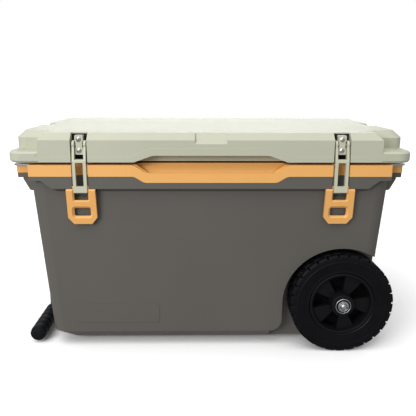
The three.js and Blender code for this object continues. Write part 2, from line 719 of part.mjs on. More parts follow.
function addHinges(tub, lid) {
  const { leafFoot, leafTop, lidFoot, lidTop } = HINGE_PLATE;
  const { halfWidth, knuckle } = HINGE;
  const leaf = hingeHalf(
    [leafFoot, leafTop],
    [
      [-halfWidth, -knuckle],
      [knuckle, halfWidth],
    ],
  );
  const knuckleHalf = hingeHalf([lidFoot, lidTop], [[-knuckle + GAP, knuckle - GAP]]);
  const pin = prism("x", circle(HINGE.y, HINGE.z, HINGE.pinRadius), [-halfWidth - 1, halfWidth + 1]);
  for (const { name, side } of MIRRORED) {
    const onTub = new THREE.Group();
    const onLid = new THREE.Group();
    onTub.position.x = side * HINGE.x;
    onLid.position.x = side * HINGE.x;
    tub.add(onTub);
    lid.add(onLid);
    addPiece(onTub, `hinge_leaf_${name}`, leaf, steel);
    addPiece(onTub, `hinge_pin_${name}`, pin, steel);
    addPiece(onLid, `hinge_knuckle_${name}`, knuckleHalf, steel);
  }
}

// ---- Latches, each drawn about x = 0 ----

const acrossLatch = (y, z, radius, half) => prism("x", circle(y, z, radius), [-half, half]);

function latchBracket() {
  const { halfWidth, waist, waistFall, front, back, z0, z1 } = BRACKET;
  const middle = (z0 + z1) / 2;
  const screwHoles = LATCH_SCREW.heights.map((z) =>
    prism("y", circle(0, z, LATCH_SCREW.shankRadius + PIN_GAP), [-FAR, FAR]),
  );
  const plan = mirrored([
    [halfWidth, z0, 2],
    [halfWidth, middle - 2 * waistFall],
    [waist, middle - waistFall, 2],
    [waist, middle + waistFall, 2],
    [halfWidth, middle + 2 * waistFall],
    [halfWidth, z1, 2],
  ]);
  return cut(
    prism("y", plan, [front, back]),
    acrossLatch(PIVOT.y, PIVOT.z, PIVOT.pinRadius + PIN_GAP, FAR),
    screwHoles,
  );
}

// A button-head screw about the Y axis, with a cross recess.
function latchScrew() {
  const { headRadius, shankRadius, shankEnd } = LATCH_SCREW;
  const seat = BRACKET.front - GAP;
  const body = turned(
    [
      [0, seat - 2.6],
      [headRadius * 0.62, seat - 2.2],
      [headRadius, seat - 0.8],
      [headRadius, seat],
      [shankRadius, seat],
      [shankRadius, shankEnd],
      [0, shankEnd],
    ],
    12,
  );
  const ends = [seat - 4, seat - 1.2];
  return cut(
    body,
    prism("y", rectangle(-2.4, 2.4, -0.5, 0.5), ends),
    prism("y", rectangle(-0.5, 0.5, -2.4, 2.4), ends),
  );
}

function latchLink() {
  const { halfWidth, eyeInner, windowHalf, windowFoot, windowTop } = LINK;
  const { crossbarTop, elbowZ, foot, front, back } = LINK_SIDE;
  const side = [
    [front, foot, 2],
    [back + 0.5, foot, 2],
    [back + 0.5, windowFoot],
    [back + 2, elbowZ, 12],
    [PIVOT.y + 5.5, PIVOT.z - 5.5],
    [PIVOT.y - 5, PIVOT.z + 5.5],
    [front + 1, elbowZ, 12],
  ];
  const eyes = acrossLatch(PIVOT.y, PIVOT.z, PIVOT.eyeRadius, halfWidth);
  return cut(
    join(prism("x", side, [-halfWidth, halfWidth]), eyes),
    box(-eyeInner, eyeInner, -FAR, 0, crossbarTop, FAR + 100),
    prism("y", rectangle(-windowHalf, windowHalf, windowFoot, windowTop, 1.5), [-FAR, 0]),
    acrossLatch(PIVOT.y, PIVOT.z, PIVOT.pinRadius + PIN_GAP, FAR),
    acrossLatch(LINK_PIN.y, LINK_PIN.z, LINK_PIN.radius + PIN_GAP, FAR),
  );
}

function latchLever() {
  const { halfTop, halfWide, halfFoot, wideZ, foot, eyeRadius } = LEVER;
  const side = [
    [LINK_PIN.y - eyeRadius, LINK_PIN.z],
    [LEVER_FOOT_Y.front, foot, 1.5],
    [LEVER_FOOT_Y.back, foot, 1.5],
    [LINK_PIN.y + eyeRadius, LINK_PIN.z],
  ];
  const face = mirrored([
    [halfFoot, foot - 1, 2],
    [halfWide, wideZ, 3],
    [halfTop, LINK_PIN.z + eyeRadius + 1],
  ]);
  const faceEnds = [LINK_PIN.y - eyeRadius - 1, LEVER_FOOT_Y.back + 1];
  const plate = join(
    prism("x", side, [-halfWide, halfWide]),
    acrossLatch(LINK_PIN.y, LINK_PIN.z, eyeRadius, halfWide),
  ).intersect(prism("y", face, faceEnds));
  const toes = MIRRORED.map((end) =>
    box(end.side * TOE.x0, end.side * TOE.x1, TOE.y0, TOE.y1, LINK_PIN.z, TOE.top),
  );
  return cut(
    join(plate, toes),
    leverOpening(LEVER_SLOT),
    leverOpening(LEVER_WINDOW),
    acrossLatch(LINK_PIN.y, LINK_PIN.z, LINK_PIN.radius + PIN_GAP, FAR),
  );
}

// The Y of the lever's front face at height z.
function leverFront(z) {
  const t = (z - LEVER.foot) / (LINK_PIN.z - LEVER.foot);
  return THREE.MathUtils.lerp(LEVER_FOOT_Y.front, LINK_PIN.y - LEVER.eyeRadius, t);
}

// A cutter for an opening through the lever, bevelled all round at the front face.
function leverOpening({ halfWidth, z0, z1, cornerRadius, bevel }) {
  const outline = (grow) =>
    rectangle(-halfWidth - grow, halfWidth + grow, z0 - grow, z1 + grow, cornerRadius + grow);
  const rim = (grow, depth) =>
    outlinePoints(outline(grow)).map((p) => [p.x, leverFront(p.y) + depth, p.y]);
  const flare = Manifold.hull([...rim(0, bevel), ...rim(bevel + 1, -1)]);
  return join(prism("y", outline(0), [-FAR, 0]), flare);
}

function addLatches(lid) {
  const bracket = latchBracket();
  const screw = latchScrew();
  const pad = prism(
    "y",
    rectangle(-LATCH_PAD.halfWidth, LATCH_PAD.halfWidth, LATCH_PAD.z0, LATCH_PAD.z1, 1),
    [LATCH_PAD.front, LATCH_PAD.back],
  );
  const pivotPin = acrossLatch(PIVOT.y, PIVOT.z, PIVOT.pinRadius, LINK.halfWidth + 0.8);
  const link = latchLink();
  const linkPin = acrossLatch(LINK_PIN.y, LINK_PIN.z, LINK_PIN.radius, LINK_PIN.halfLength);
  const lever = latchLever();
  for (const { name, side } of MIRRORED) {
    const latch = new THREE.Group();
    latch.position.x = side * LATCH_X;
    lid.add(latch);
    addPiece(latch, `latch_pad_${name}`, pad, rubber);
    addPiece(latch, `latch_bracket_${name}`, bracket, sageMetal);
    LATCH_SCREW.heights.forEach((z, i) => {
      const place = new THREE.Group();
      place.position.z = z;
      latch.add(place);
      addPiece(place, `latch_screw_${name}_${i === 0 ? "upper" : "lower"}`, screw, steel);
    });
    addPiece(latch, `latch_pivot_${name}`, pivotPin, steel);
    addPiece(latch, `latch_link_${name}`, link, sageMetal);
    addPiece(latch, `link_pin_${name}`, linkPin, steel);
    addPiece(latch, `latch_lever_${name}`, lever, orange);
  }
}

// ---- Wheels and axle: each wheel is drawn about the origin with its outside facing -Y ----

function tyre() {
  const { radius, halfWidth } = WHEEL;
  const bead = RIM.radius + GAP;
  const half = [
    [bead, halfWidth - 3],
    [bead + 4, halfWidth - 1.5],
    [radius - 20, halfWidth],
    [radius - 12, halfWidth],
    [radius - 1.5, halfWidth - 1.8],
    [radius, halfWidth - 4],
  ];
  const lower = half.map(([r, y]) => [r, -y]);
  return turned([...lower, ...half.toReversed()], 48);
}

function wheelRim() {
  const { radius, inner, halfWidth, hubRadius, hubFront, hubBack } = RIM;
  const barrel = turned(
    [
      [inner + 2, -halfWidth - 1],
      [radius, -halfWidth],
      [radius, halfWidth],
      [inner, halfWidth],
      [inner, -halfWidth + 3],
    ],
    48,
  );
  const hub = prism("y", circle(0, 0, hubRadius, 24), [hubFront, hubBack]);
  const spokes = Array.from({ length: SPOKES.count }, (_, i) => {
    const middle = SPOKES.first + (360 * i) / SPOKES.count;
    return prism("y", sector(hubRadius - 2, inner + 2, middle, SPOKES.width), [
      SPOKES.front,
      SPOKES.back,
    ]);
  });
  const web = ring("y", [0, 0], inner + 2, hubRadius - 2, [RIM_WEB.front, RIM_WEB.back]);
  const bore = prism("y", circle(0, 0, BUSH.radius + GAP), [-FAR, FAR]);
  return cut(join(barrel, hub, spokes, web), bore);
}

// A ring sector: its middle direction and its width are in degrees.
function sector(inner, outer, middle, width) {
  const steps = 3;
  const arc = (radius) =>
    Array.from({ length: steps + 1 }, (_, i) => {
      const angle = THREE.MathUtils.degToRad(middle - width / 2 + (width * i) / steps);
      return [radius * Math.cos(angle), radius * Math.sin(angle)];
    });
  return [...arc(outer), ...arc(inner).toReversed()];
}

function addWheels(cooler) {
  const wheelTyre = tyre();
  const rim = wheelRim();
  const bore = AXLE.radius + PIN_GAP;
  const bush = ring("y", [0, 0], BUSH.radius, bore, [BUSH.front, BUSH.back]);
  const hubRing = ring("y", [0, 0], HUB_RING.radius, HUB_RING.inner, [HUB_RING.front, HUB_RING.back]);
  for (const { name, side } of FRONT_AND_REAR) {
    const wheel = new THREE.Group();
    wheel.position.set(WHEEL.x, side * WHEEL.y, WHEEL.z);
    wheel.rotation.z = side > 0 ? Math.PI : 0;
    cooler.add(wheel);
    addPiece(wheel, `tyre_${name}`, wheelTyre, rubber);
    addPiece(wheel, `wheel_rim_${name}`, rim, blackPlastic);
    addPiece(wheel, `wheel_bush_${name}`, bush, white);
    addPiece(wheel, `hub_ring_${name}`, hubRing, steel);
  }
}

function addAxle(tub) {
  const { radius, shoulder, tip } = AXLE;
  const axleGroup = new THREE.Group();
  axleGroup.position.set(WHEEL.x, 0, WHEEL.z);
  tub.add(axleGroup);
  const axle = turned(
    [
      [0, -tip],
      [radius * 0.6, -tip + 0.8],
      [radius, -shoulder],
      [radius, shoulder],
      [radius * 0.6, tip - 0.8],
      [0, tip],
    ],
    18,
  );
  const bore = radius + PIN_GAP;
  const sleeveEnd = WELL.wall - WALL - GAP;
  addPiece(axleGroup, "axle", axle, steel);
  addPiece(
    axleGroup,
    "axle_sleeve",
    ring("y", [0, 0], SLEEVE_RADIUS, bore, [-sleeveEnd, sleeveEnd]),
    blackPlastic,
  );
  for (const { name, side } of FRONT_AND_REAR) {
    const spacer = ring("y", [0, 0], SPACER.radius, bore, [side * SPACER.inner, side * SPACER.outer]);
    const nut = ring("y", [0, 0], PUSH_NUT.radius, bore, [side * PUSH_NUT.inner, side * PUSH_NUT.outer]);
    addPiece(axleGroup, `axle_spacer_${name}`, spacer, steel);
    addPiece(axleGroup, `push_nut_${name}`, nut, steel);
  }
}

// ---- Tow handle, drawn about its pivot ----

function handleFrame() {
  const { length, armY, armHalfX, armHalfY, eyeRadius } = HANDLE;
  const arms = FRONT_AND_REAR.flatMap(({ side }) => {
    const ends = [side * armY - armHalfY, side * armY + armHalfY];
    return [
      prism("y", rectangle(-armHalfX, armHalfX, -length, 0, 2), ends),
      prism("y", circle(0, 0, eyeRadius), ends),
      prism("y", circle(0, -length, eyeRadius + 3), ends),
    ];
  });
  const bar = prism("y", circle(0, -length, HANDLE_BAR.radius), [
    -HANDLE_BAR.halfLength,
    HANDLE_BAR.halfLength,
  ]);
  const pinHole = prism("y", circle(0, 0, HANDLE_PIN.radius + PIN_GAP), [-FAR, FAR]);
  return cut(join(arms, bar), pinHole);
}

function addHandle(cooler) {
  const handle = new THREE.Group();
  handle.position.set(HANDLE.x, 0, HANDLE.z);
  cooler.add(handle);
  addPiece(handle, "handle_frame", handleFrame(), blackPlastic);
  const centre = [0, -HANDLE.length];
  for (const { name, side } of FRONT_AND_REAR) {
    const gripEnds = [side * GRIP.inner, side * GRIP.outer];
    const grip = ring("y", centre, GRIP.radius, HANDLE_BAR.radius + GAP, gripEnds);
    const cap = prism("y", circle(...centre, GRIP_CAP.radius), [
      side * GRIP_CAP.inner,
      side * GRIP_CAP.outer,
    ]);
    addPiece(handle, `grip_${name}`, grip, gripRubber);
    addPiece(handle, `grip_cap_${name}`, cap, blackPlastic);
  }
}

// The clevis on the end wall that carries one arm, drawn about the pivot in X and Z and the arm in Y.
function handleBracket() {
  const plateBack = -wallHalf("x", EAR.z1) - GAP - HANDLE.x;
  const plateFront = plateBack - EAR.plateThickness;
  const z0 = EAR.z0 - HANDLE.z;
  const z1 = EAR.z1 - HANDLE.z;
  const ear = [
    [-EAR.radius, -EAR.radius, EAR.radius - 1],
    [plateFront, z0],
    [plateBack, z0],
    [plateBack, z1],
    [plateFront, z1],
    [-EAR.radius, EAR.radius, EAR.radius - 1],
  ];
  const ears = FRONT_AND_REAR.map(({ side }) =>
    prism("y", ear, [side * EAR.inner, side * EAR.outer]),
  );
  const plate = box(plateFront, plateBack, -EAR.outer, EAR.outer, z0, z1);
  const pinHole = prism("y", circle(0, 0, HANDLE_PIN.radius + PIN_GAP), [-FAR, FAR]);
  return cut(join(ears, plate), pinHole);
}

function addHandleBrackets(tub) {
  const bracket = handleBracket();
  const { radius, halfLength } = HANDLE_PIN;
  const pin = prism("y", circle(0, 0, radius), [-halfLength, halfLength]);
  for (const { name, side } of FRONT_AND_REAR) {
    const place = new THREE.Group();
    place.position.set(HANDLE.x, side * HANDLE.armY, HANDLE.z);
    tub.add(place);
    addPiece(place, `handle_bracket_${name}`, bracket, blackPlastic);
    addPiece(place, `handle_pin_${name}`, pin, steel);
  }
}

// ---- Feet and drain ----

function addFeet(tub) {
  const { x, y, halfX, halfY, height, cornerRadius } = FOOT;
  const pad = prism("z", rectangle(-halfX, halfX, -halfY, halfY, cornerRadius), [0, height]);
  for (const { name, side } of FRONT_AND_REAR) {
    const place = new THREE.Group();
    place.position.set(x, side * y, 0);
    tub.add(place);
    addPiece(place, `foot_${name}`, pad, rubber);
  }
}

// The plug, drawn from the drain's centre line, with the back of its flange at the given X.
function drainPlug(flangeBack) {
  const { stemRadius, stemLength, flangeRadius, flangeThickness } = DRAIN_PLUG;
  const { halfY, halfZ, length } = DRAIN_GRIP;
  const flangeFront = flangeBack + flangeThickness;
  return join(
    prism("x", circle(0, 0, stemRadius), [flangeBack - stemLength, flangeBack + 1]),
    prism("x", circle(0, 0, flangeRadius), [flangeBack, flangeFront]),
    prism("x", rectangle(-halfY, halfY, -halfZ, halfZ, 2), [flangeFront - 1, flangeFront + length]),
  );
}

function addDrain(tub, cooler) {
  const { z, bore, tubeRadius, tubeStart } = DRAIN;
  const onTub = new THREE.Group();
  const onPlug = new THREE.Group();
  onTub.position.z = z;
  onPlug.position.z = z;
  tub.add(onTub);
  cooler.add(onPlug);
  const tubeEnd = wallHalf("x", z - tubeRadius) - WALL - GAP;
  const sealBack = wallHalf("x", z + DRAIN_SEAL.radius) + GAP;
  const sealFront = sealBack + DRAIN_SEAL.thickness;
  const tube = ring("x", [0, 0], tubeRadius, bore, [tubeStart, tubeEnd]);
  const seal = ring("x", [0, 0], DRAIN_SEAL.radius, DRAIN_SEAL.inner, [sealBack, sealFront]);
  addPiece(onTub, "drain_tube", tube, white);
  addPiece(onPlug, "drain_plug", drainPlug(sealFront + GAP), blackPlastic);
  addPiece(onPlug, "drain_seal", seal, rubber);
}

// ---- The cooler ----

const cooler = new THREE.Group();
const tub = new THREE.Group();
const lid = new THREE.Group();
cooler.add(tub, lid);

addPiece(tub, "body_shell", bodyShell(), grey);
addPiece(tub, "body_foam", bodyFoam(), foam);
addPiece(tub, "inner_liner", innerLiner(), white);
addPiece(tub, "rim_band", rimBand(), orange);
for (const { name, side } of MIRRORED) {
  addPiece(tub, `lock_plate_${name}`, lockPlate(side), steel);
}
addPiece(lid, "lid_shell", lidShell(), sage);
addPiece(
  lid,
  "lid_foam",
  lidHollow(GAP, LID.bottom + LID_INSIDE.panel + GAP, LID_INSIDE.top - GAP),
  foam,
);
addPiece(lid, "lid_liner", lidLiner(), white);
addPiece(lid, "lid_gasket", lidGasket(), rubber);
addHinges(tub, lid);
addLatches(lid);
addAxle(tub);
addWheels(cooler);
addHandleBrackets(tub);
addHandle(cooler);
addFeet(tub);
addDrain(tub, cooler);

export default cooler;
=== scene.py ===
"""A hard-sided cooler on two wheels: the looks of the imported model, in metres, in the model's own frame.

X runs along the length with the wheels at +X, Y runs from the latches (-Y) to the hinges, Z is up,
and z = 0 is the ground.
"""

import json
import math

import bmesh
import bpy
from mathutils import Matrix, Vector


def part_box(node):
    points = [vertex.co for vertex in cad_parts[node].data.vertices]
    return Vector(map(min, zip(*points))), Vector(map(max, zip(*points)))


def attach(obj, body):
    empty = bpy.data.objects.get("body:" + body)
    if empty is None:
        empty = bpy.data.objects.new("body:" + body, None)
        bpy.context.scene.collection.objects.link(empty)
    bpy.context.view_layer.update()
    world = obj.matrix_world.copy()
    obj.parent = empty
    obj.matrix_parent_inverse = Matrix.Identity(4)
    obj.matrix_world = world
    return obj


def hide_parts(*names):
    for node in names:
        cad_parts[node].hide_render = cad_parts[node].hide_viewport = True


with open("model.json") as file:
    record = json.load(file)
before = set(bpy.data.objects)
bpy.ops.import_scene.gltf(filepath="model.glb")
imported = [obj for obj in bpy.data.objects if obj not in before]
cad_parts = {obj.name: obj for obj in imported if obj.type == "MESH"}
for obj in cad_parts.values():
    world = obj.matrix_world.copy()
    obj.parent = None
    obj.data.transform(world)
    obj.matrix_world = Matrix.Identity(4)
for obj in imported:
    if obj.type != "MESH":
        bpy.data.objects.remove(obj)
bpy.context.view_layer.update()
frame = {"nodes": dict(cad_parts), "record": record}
nodes = frame["nodes"]
MM = 0.001


# ---- Camera, light and floor ----

SENSOR = 36.0
LENS = 44.08
CAMERA_PLACE = Vector((-0.0182, -1.1309, 0.5148))
CAMERA_PITCH = math.radians(13.62)
CAMERA_YAW = math.radians(0.81)
CAMERA_ROLL = math.radians(0.16)
# The dome's strength at its lower and upper heights, as shares of the way up from the horizon.
DOME_LOW = 0.36
DOME_HIGH = 0.74
DOME_START = -0.25
DOME_END = 0.7
SUN = {"strength": 1.4, "spread": math.radians(50), "from": Vector((-0.25, -0.35, 1.0))}
SOFT_BOXES = (
    # name, place, aim, size, power, colour
    ("front_light", (-1.8, -2.6, 1.3), (0, 0, 0.25), (1.4, 1.2), 58, (1, 1, 1)),
    ("back_light", (0, 3.2, 1.3), (0, 0, 0.4), (3.0, 0.8), 30, (0.96, 0.99, 1.0)),
)


def make_camera():
    forward = Vector(
        (
            math.sin(CAMERA_YAW) * math.cos(CAMERA_PITCH),
            math.cos(CAMERA_YAW) * math.cos(CAMERA_PITCH),
            -math.sin(CAMERA_PITCH),
        )
    )
    level_right = Vector((math.cos(CAMERA_YAW), -math.sin(CAMERA_YAW), 0))
    level_up = level_right.cross(forward)
    right = level_right * math.cos(CAMERA_ROLL) + level_up * math.sin(CAMERA_ROLL)
    up = right.cross(forward)
    turn = Matrix((right, up, -forward)).transposed().to_4x4()
    data = bpy.data.cameras.new("camera")
    data.sensor_width = SENSOR
    data.lens = LENS
    camera = bpy.data.objects.new("camera", data)
    camera.matrix_world = Matrix.Translation(CAMERA_PLACE) @ turn
    bpy.context.scene.collection.objects.link(camera)
    bpy.context.scene.camera = camera


def area_light(name, place, aim, size, power, colour):
    data = bpy.data.lights.new(name, "AREA")
    data.shape = "RECTANGLE"
    data.size, data.size_y = size
    data.energy = power
    data.color = colour
    light = bpy.data.objects.new(name, data)
    light.location = place
    light.rotation_euler = (Vector(aim) - Vector(place)).to_track_quat("-Z", "Y").to_euler()
    bpy.context.scene.collection.objects.link(light)


def map_range(tree, value, low, high, start=0.0, end=1.0):
    """Maps a value from start..end to low..high."""
    node = tree.nodes.new("ShaderNodeMapRange")
    node.inputs["From Min"].default_value = start
    node.inputs["From Max"].default_value = end
    node.inputs["To Min"].default_value = low
    node.inputs["To Max"].default_value = high
    tree.links.new(value, node.inputs["Value"])
    return node.outputs["Result"]


def make_dome():
    """A studio dome that shows as white, and lights the object more from above than from below."""
    world = bpy.data.worlds.new("studio")
    world.use_nodes = True
    tree = world.node_tree
    background = tree.nodes["Background"]
    background.inputs["Color"].default_value = (1.0, 1.0, 1.0, 1.0)
    place = tree.nodes.new("ShaderNodeTexCoord")
    split = tree.nodes.new("ShaderNodeSeparateXYZ")
    tree.links.new(place.outputs["Generated"], split.inputs["Vector"])
    glow = map_range(tree, split.outputs["Z"], DOME_LOW, DOME_HIGH, DOME_START, DOME_END)
    path = tree.nodes.new("ShaderNodeLightPath")
    choice = tree.nodes.new("ShaderNodeMix")
    choice.data_type = "FLOAT"
    choice.inputs["B"].default_value = 1.0
    tree.links.new(path.outputs["Is Camera Ray"], choice.inputs["Factor"])
    tree.links.new(glow, choice.inputs["A"])
    tree.links.new(choice.outputs["Result"], background.inputs["Strength"])
    bpy.context.scene.world = world


def make_light():
    """A white studio: the dome, a broad sun from above, and soft boxes in front and behind."""
    bpy.context.scene.view_settings.view_transform = "Standard"
    make_dome()
    data = bpy.data.lights.new("sun", "SUN")
    data.energy = SUN["strength"]
    data.angle = SUN["spread"]
    sun = bpy.data.objects.new("sun", data)
    sun.rotation_euler = SUN["from"].to_track_quat("Z", "Y").to_euler()
    bpy.context.scene.collection.objects.link(sun)
    for soft_box in SOFT_BOXES:
        area_light(*soft_box)


FLOOR_HALF = 6.0
FLOOR_DROP = 0.0005


def make_floor():
    """A white floor that lights and reflects in nothing, so the black parts stay black."""
    half = FLOOR_HALF
    mesh = bpy.data.meshes.new("floor")
    corners = [(-half, -half, 0), (half, -half, 0), (half, half, 0), (-half, half, 0)]
    mesh.from_pydata(corners, [], [(0, 1, 2, 3)])
    floor = bpy.data.objects.new("floor", mesh)
    floor.location.z = -FLOOR_DROP
    bpy.context.scene.collection.objects.link(floor)
    floor.data.materials.append(plain_floor())
    floor.visible_diffuse = False
    floor.visible_glossy = False


# ---- Materials ----


def new_material(name, colour, roughness, metallic=0.0):
    """A principled material; returns it with its node tree and its shader."""
    material = bpy.data.materials.new(name)
    material.use_nodes = True
    tree = material.node_tree
    shader = tree.nodes["Principled BSDF"]
    shader.inputs["Base Color"].default_value = (*colour, 1)
    shader.inputs["Roughness"].default_value = roughness
    shader.inputs["Metallic"].default_value = metallic
    return material, tree, shader


def noise(tree, scale, detail=2.0, stretch=(1, 1, 1)):
    """A noise texture in object space, in noise cells for each metre."""
    place = tree.nodes.new("ShaderNodeTexCoord")
    mapping = tree.nodes.new("ShaderNodeMapping")
    mapping.inputs["Scale"].default_value = stretch
    texture = tree.nodes.new("ShaderNodeTexNoise")
    texture.inputs["Scale"].default_value = scale
    texture.inputs["Detail"].default_value = detail
    tree.links.new(place.outputs["Object"], mapping.inputs["Vector"])
    tree.links.new(mapping.outputs["Vector"], texture.inputs["Vector"])
    return texture.outputs["Fac"]


NOISE_MIDDLE = (0.3, 0.7)


def spread(tree, factor, low, high):
    """Maps the middle of a noise to the range from low to high."""
    return map_range(tree, factor, low, high, *NOISE_MIDDLE)


def tint(tree, shader, factor, colour, shift):
    """Varies the base colour by a share of itself, up and down."""
    mix = tree.nodes.new("ShaderNodeMix")
    mix.data_type = "RGBA"
    mix.inputs["A"].default_value = (*(c * (1 - shift) for c in colour), 1)
    mix.inputs["B"].default_value = (*(min(1, c * (1 + shift)) for c in colour), 1)
    tree.links.new(factor, mix.inputs["Factor"])
    tree.links.new(mix.outputs["Result"], shader.inputs["Base Color"])


def bump(tree, shader, height, strength, distance):
    node = tree.nodes.new("ShaderNodeBump")
    node.inputs["Strength"].default_value = strength
    node.inputs["Distance"].default_value = distance
    tree.links.new(height, node.inputs["Height"])
    tree.links.new(node.outputs["Normal"], shader.inputs["Normal"])


def moulded_plastic(
    name, colour, roughness, grain=1400, grain_strength=0.25, shift=0.03, specular=0.4
):
    """Satin moulded plastic: a fine grain, and a faint cloudiness in its colour and gloss."""
    material, tree, shader = new_material(name, colour, roughness)
    shader.inputs["Specular IOR Level"].default_value = specular
    tint(tree, shader, spread(tree, noise(tree, 7, 3), 0, 1), colour, shift)
    gloss = spread(tree, noise(tree, 60, 4), roughness - 0.05, roughness + 0.06)
    tree.links.new(gloss, shader.inputs["Roughness"])
    bump(tree, shader, noise(tree, grain, 2), grain_strength, 0.00012)
    return material


def brushed_steel(name, colour, roughness, stretch):
    material, tree, shader = new_material(name, colour, roughness, 1.0)
    streaks = noise(tree, 500, 3, stretch)
    tree.links.new(
        spread(tree, streaks, roughness - 0.08, roughness + 0.12), shader.inputs["Roughness"]
    )
    bump(tree, shader, streaks, 0.2, 0.00004)
    tint(tree, shader, spread(tree, noise(tree, 90, 2), 0, 1), colour, 0.06)
    return material


def rubber(name, colour, roughness, specular, grain=700):
    material, tree, shader = new_material(name, colour, roughness)
    shader.inputs["Specular IOR Level"].default_value = specular
    tint(tree, shader, spread(tree, noise(tree, 25, 4), 0, 1), colour, 0.25)
    tree.links.new(
        spread(tree, noise(tree, 35, 5), roughness - 0.08, roughness + 0.08),
        shader.inputs["Roughness"],
    )
    bump(tree, shader, noise(tree, grain, 3), 0.35, 0.0002)
    return material


def plain_floor():
    material, tree, shader = new_material("floor_paper", (0.97, 0.97, 0.97), 0.9)
    bump(tree, shader, noise(tree, 300, 2), 0.05, 0.0002)
    return material


MATERIALS = {
    "body_grey": moulded_plastic("body_grey_plastic", (0.100, 0.094, 0.083), 0.5),
    "rim_orange": moulded_plastic("rim_orange_plastic", (0.78, 0.40, 0.12), 0.45),
    "lid_sage": moulded_plastic("lid_sage_plastic", (0.45, 0.46, 0.36), 0.5),
    "liner_white": moulded_plastic("liner_white_plastic", (0.78, 0.79, 0.75), 0.4),
    "insulating_foam": moulded_plastic("insulating_foam", (0.8, 0.72, 0.43), 0.9, 300, 0.8),
    "tyre_rubber": rubber("tyre_rubber", (0.003, 0.003, 0.004), 0.45, 0.12),
    "wheel_black": moulded_plastic(
        "wheel_black_plastic", (0.005, 0.005, 0.006), 0.45, specular=0.12
    ),
    "grip_rubber": rubber("grip_rubber", (0.005, 0.006, 0.008), 0.55, 0.12),
    "soft_rubber": rubber("soft_rubber", (0.008, 0.008, 0.008), 0.7, 0.2),
    "stainless": brushed_steel("stainless_steel", (0.50, 0.51, 0.52), 0.3, (1, 8, 8)),
    "sage_metal": moulded_plastic("sage_metal", (0.50, 0.50, 0.38), 0.35, 900, 0.15),
}


def dress_cad_nodes():
    """Gives every CAD piece the material of its slot in the record."""
    for part in frame["record"]["subparts"]:
        piece = nodes[part["node"]]
        piece.data.materials.clear()
        piece.data.materials.append(MATERIALS[part["material_slot"]])


# ---- Softened edges of the CAD pieces ----

SMALL_BEVEL = 0.3
BEVELS = {
    "body_shell": 1.6,
    "rim_band": 1.2,
    "lid_shell": 2.0,
    "lid_liner": 1.5,
    "handle_frame": 1.0,
    "lock_plate": 0.5,
    "latch_lever": 0.9,
    "latch_link": 0.7,
    "latch_bracket": 0.6,
    "hinge_leaf": 0.5,
    "hinge_knuckle": 0.5,
    "handle_bracket": 0.6,
    "drain_plug": 0.6,
    "foot": 1.0,
}


def soften(piece, width):
    """Rounds the sharp edges of a faceted piece with modifiers, and shades it smooth."""
    for face in piece.data.polygons:
        face.use_smooth = True
    weld = piece.modifiers.new("weld", "WELD")
    weld.merge_threshold = 0.00002
    flat = piece.modifiers.new("flat_faces", "DECIMATE")
    flat.decimate_type = "DISSOLVE"
    flat.angle_limit = math.radians(0.6)
    edges = piece.modifiers.new("edges", "BEVEL")
    edges.width = width * MM
    edges.segments = 3
    edges.limit_method = "ANGLE"
    edges.angle_limit = math.radians(28)
    edges.harden_normals = False
    edges.miter_outer = "MITER_ARC"
    edges.use_clamp_overlap = True
    normals = piece.modifiers.new("normals", "WEIGHTED_NORMAL")
    normals.keep_sharp = False
    normals.weight = 90


# The edge modifiers break the stepped floor of the liner; the foam round it has the same floor.
LEFT_AS_PACKED = ("inner_liner", "body_foam")


def soften_cad_nodes():
    for name, piece in nodes.items():
        if name in LEFT_AS_PACKED:
            continue
        widths = (width for stem, width in BEVELS.items() if name.startswith(stem))
        soften(piece, next(widths, SMALL_BEVEL))


# ---- Meshes of the detailed pieces ----
# A shell is (points, faces), in millimetres, drawn about the piece's own centre.


def grid_faces(rows, columns, closed):
    """Quads over rows of points, where each row goes all the way round."""
    last = rows if closed else rows - 1
    return [
        (
            row * columns + column,
            row * columns + (column + 1) % columns,
            (row + 1) % rows * columns + (column + 1) % columns,
            (row + 1) % rows * columns + column,
        )
        for row in range(last)
        for column in range(columns)
    ]


def revolved(profile, steps, closed=True):
    """A profile of (radius, y) turned about Y; an open profile starts and ends on the axis."""
    turns = [2 * math.pi * step / steps for step in range(steps)]
    points = [
        (radius * math.cos(turn), y, radius * math.sin(turn))
        for radius, y in profile
        for turn in turns
    ]
    return points, grid_faces(len(profile), steps, closed)


def prism(outline, y0, y1):
    """An outline of (x, z) points extruded along Y."""
    count = len(outline)
    points = [(x, y, z) for y in (y0, y1) for x, z in outline]
    ends = [tuple(range(count)), tuple(range(2 * count - 1, count - 1, -1))]
    return points, ends + grid_faces(2, count, False)


def sector(inner, outer, middle, width, steps=8):
    """The outline of a ring sector; middle and width are in degrees."""
    turns = [math.radians(middle + width * (step / steps - 0.5)) for step in range(steps + 1)]
    arcs = [(outer, turn) for turn in turns] + [(inner, turn) for turn in reversed(turns)]
    return [(radius * math.cos(turn), radius * math.sin(turn)) for radius, turn in arcs]


def add_piece(name, shells, place, body, slot, stands_for, edge=0.0, sharp=35):
    """Makes one piece of closed shells, puts it in place, ties it to its body and hides the CAD node it
    stands for.
    """
    work = bmesh.new()
    for points, faces in shells:
        corners = [work.verts.new(Vector(point) * MM) for point in points]
        for face in faces:
            work.faces.new([corners[i] for i in face])
    bmesh.ops.remove_doubles(work, verts=work.verts, dist=0.001 * MM)
    bmesh.ops.recalc_face_normals(work, faces=work.faces)
    mesh = bpy.data.meshes.new(name)
    work.to_mesh(mesh)
    work.free()
    mesh.transform(place)
    mesh.shade_smooth()
    mesh.set_sharp_from_angle(angle=math.radians(sharp))
    mesh.materials.append(MATERIALS[slot])
    piece = bpy.data.objects.new(name, mesh)
    bpy.context.scene.collection.objects.link(piece)
    if edge:
        bevel = piece.modifiers.new("edges", "BEVEL")
        bevel.width = edge * MM
        bevel.segments = 2
        bevel.limit_method = "ANGLE"
        bevel.angle_limit = math.radians(sharp)
        bevel.harden_normals = True
    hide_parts(stands_for)
    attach(piece, body)


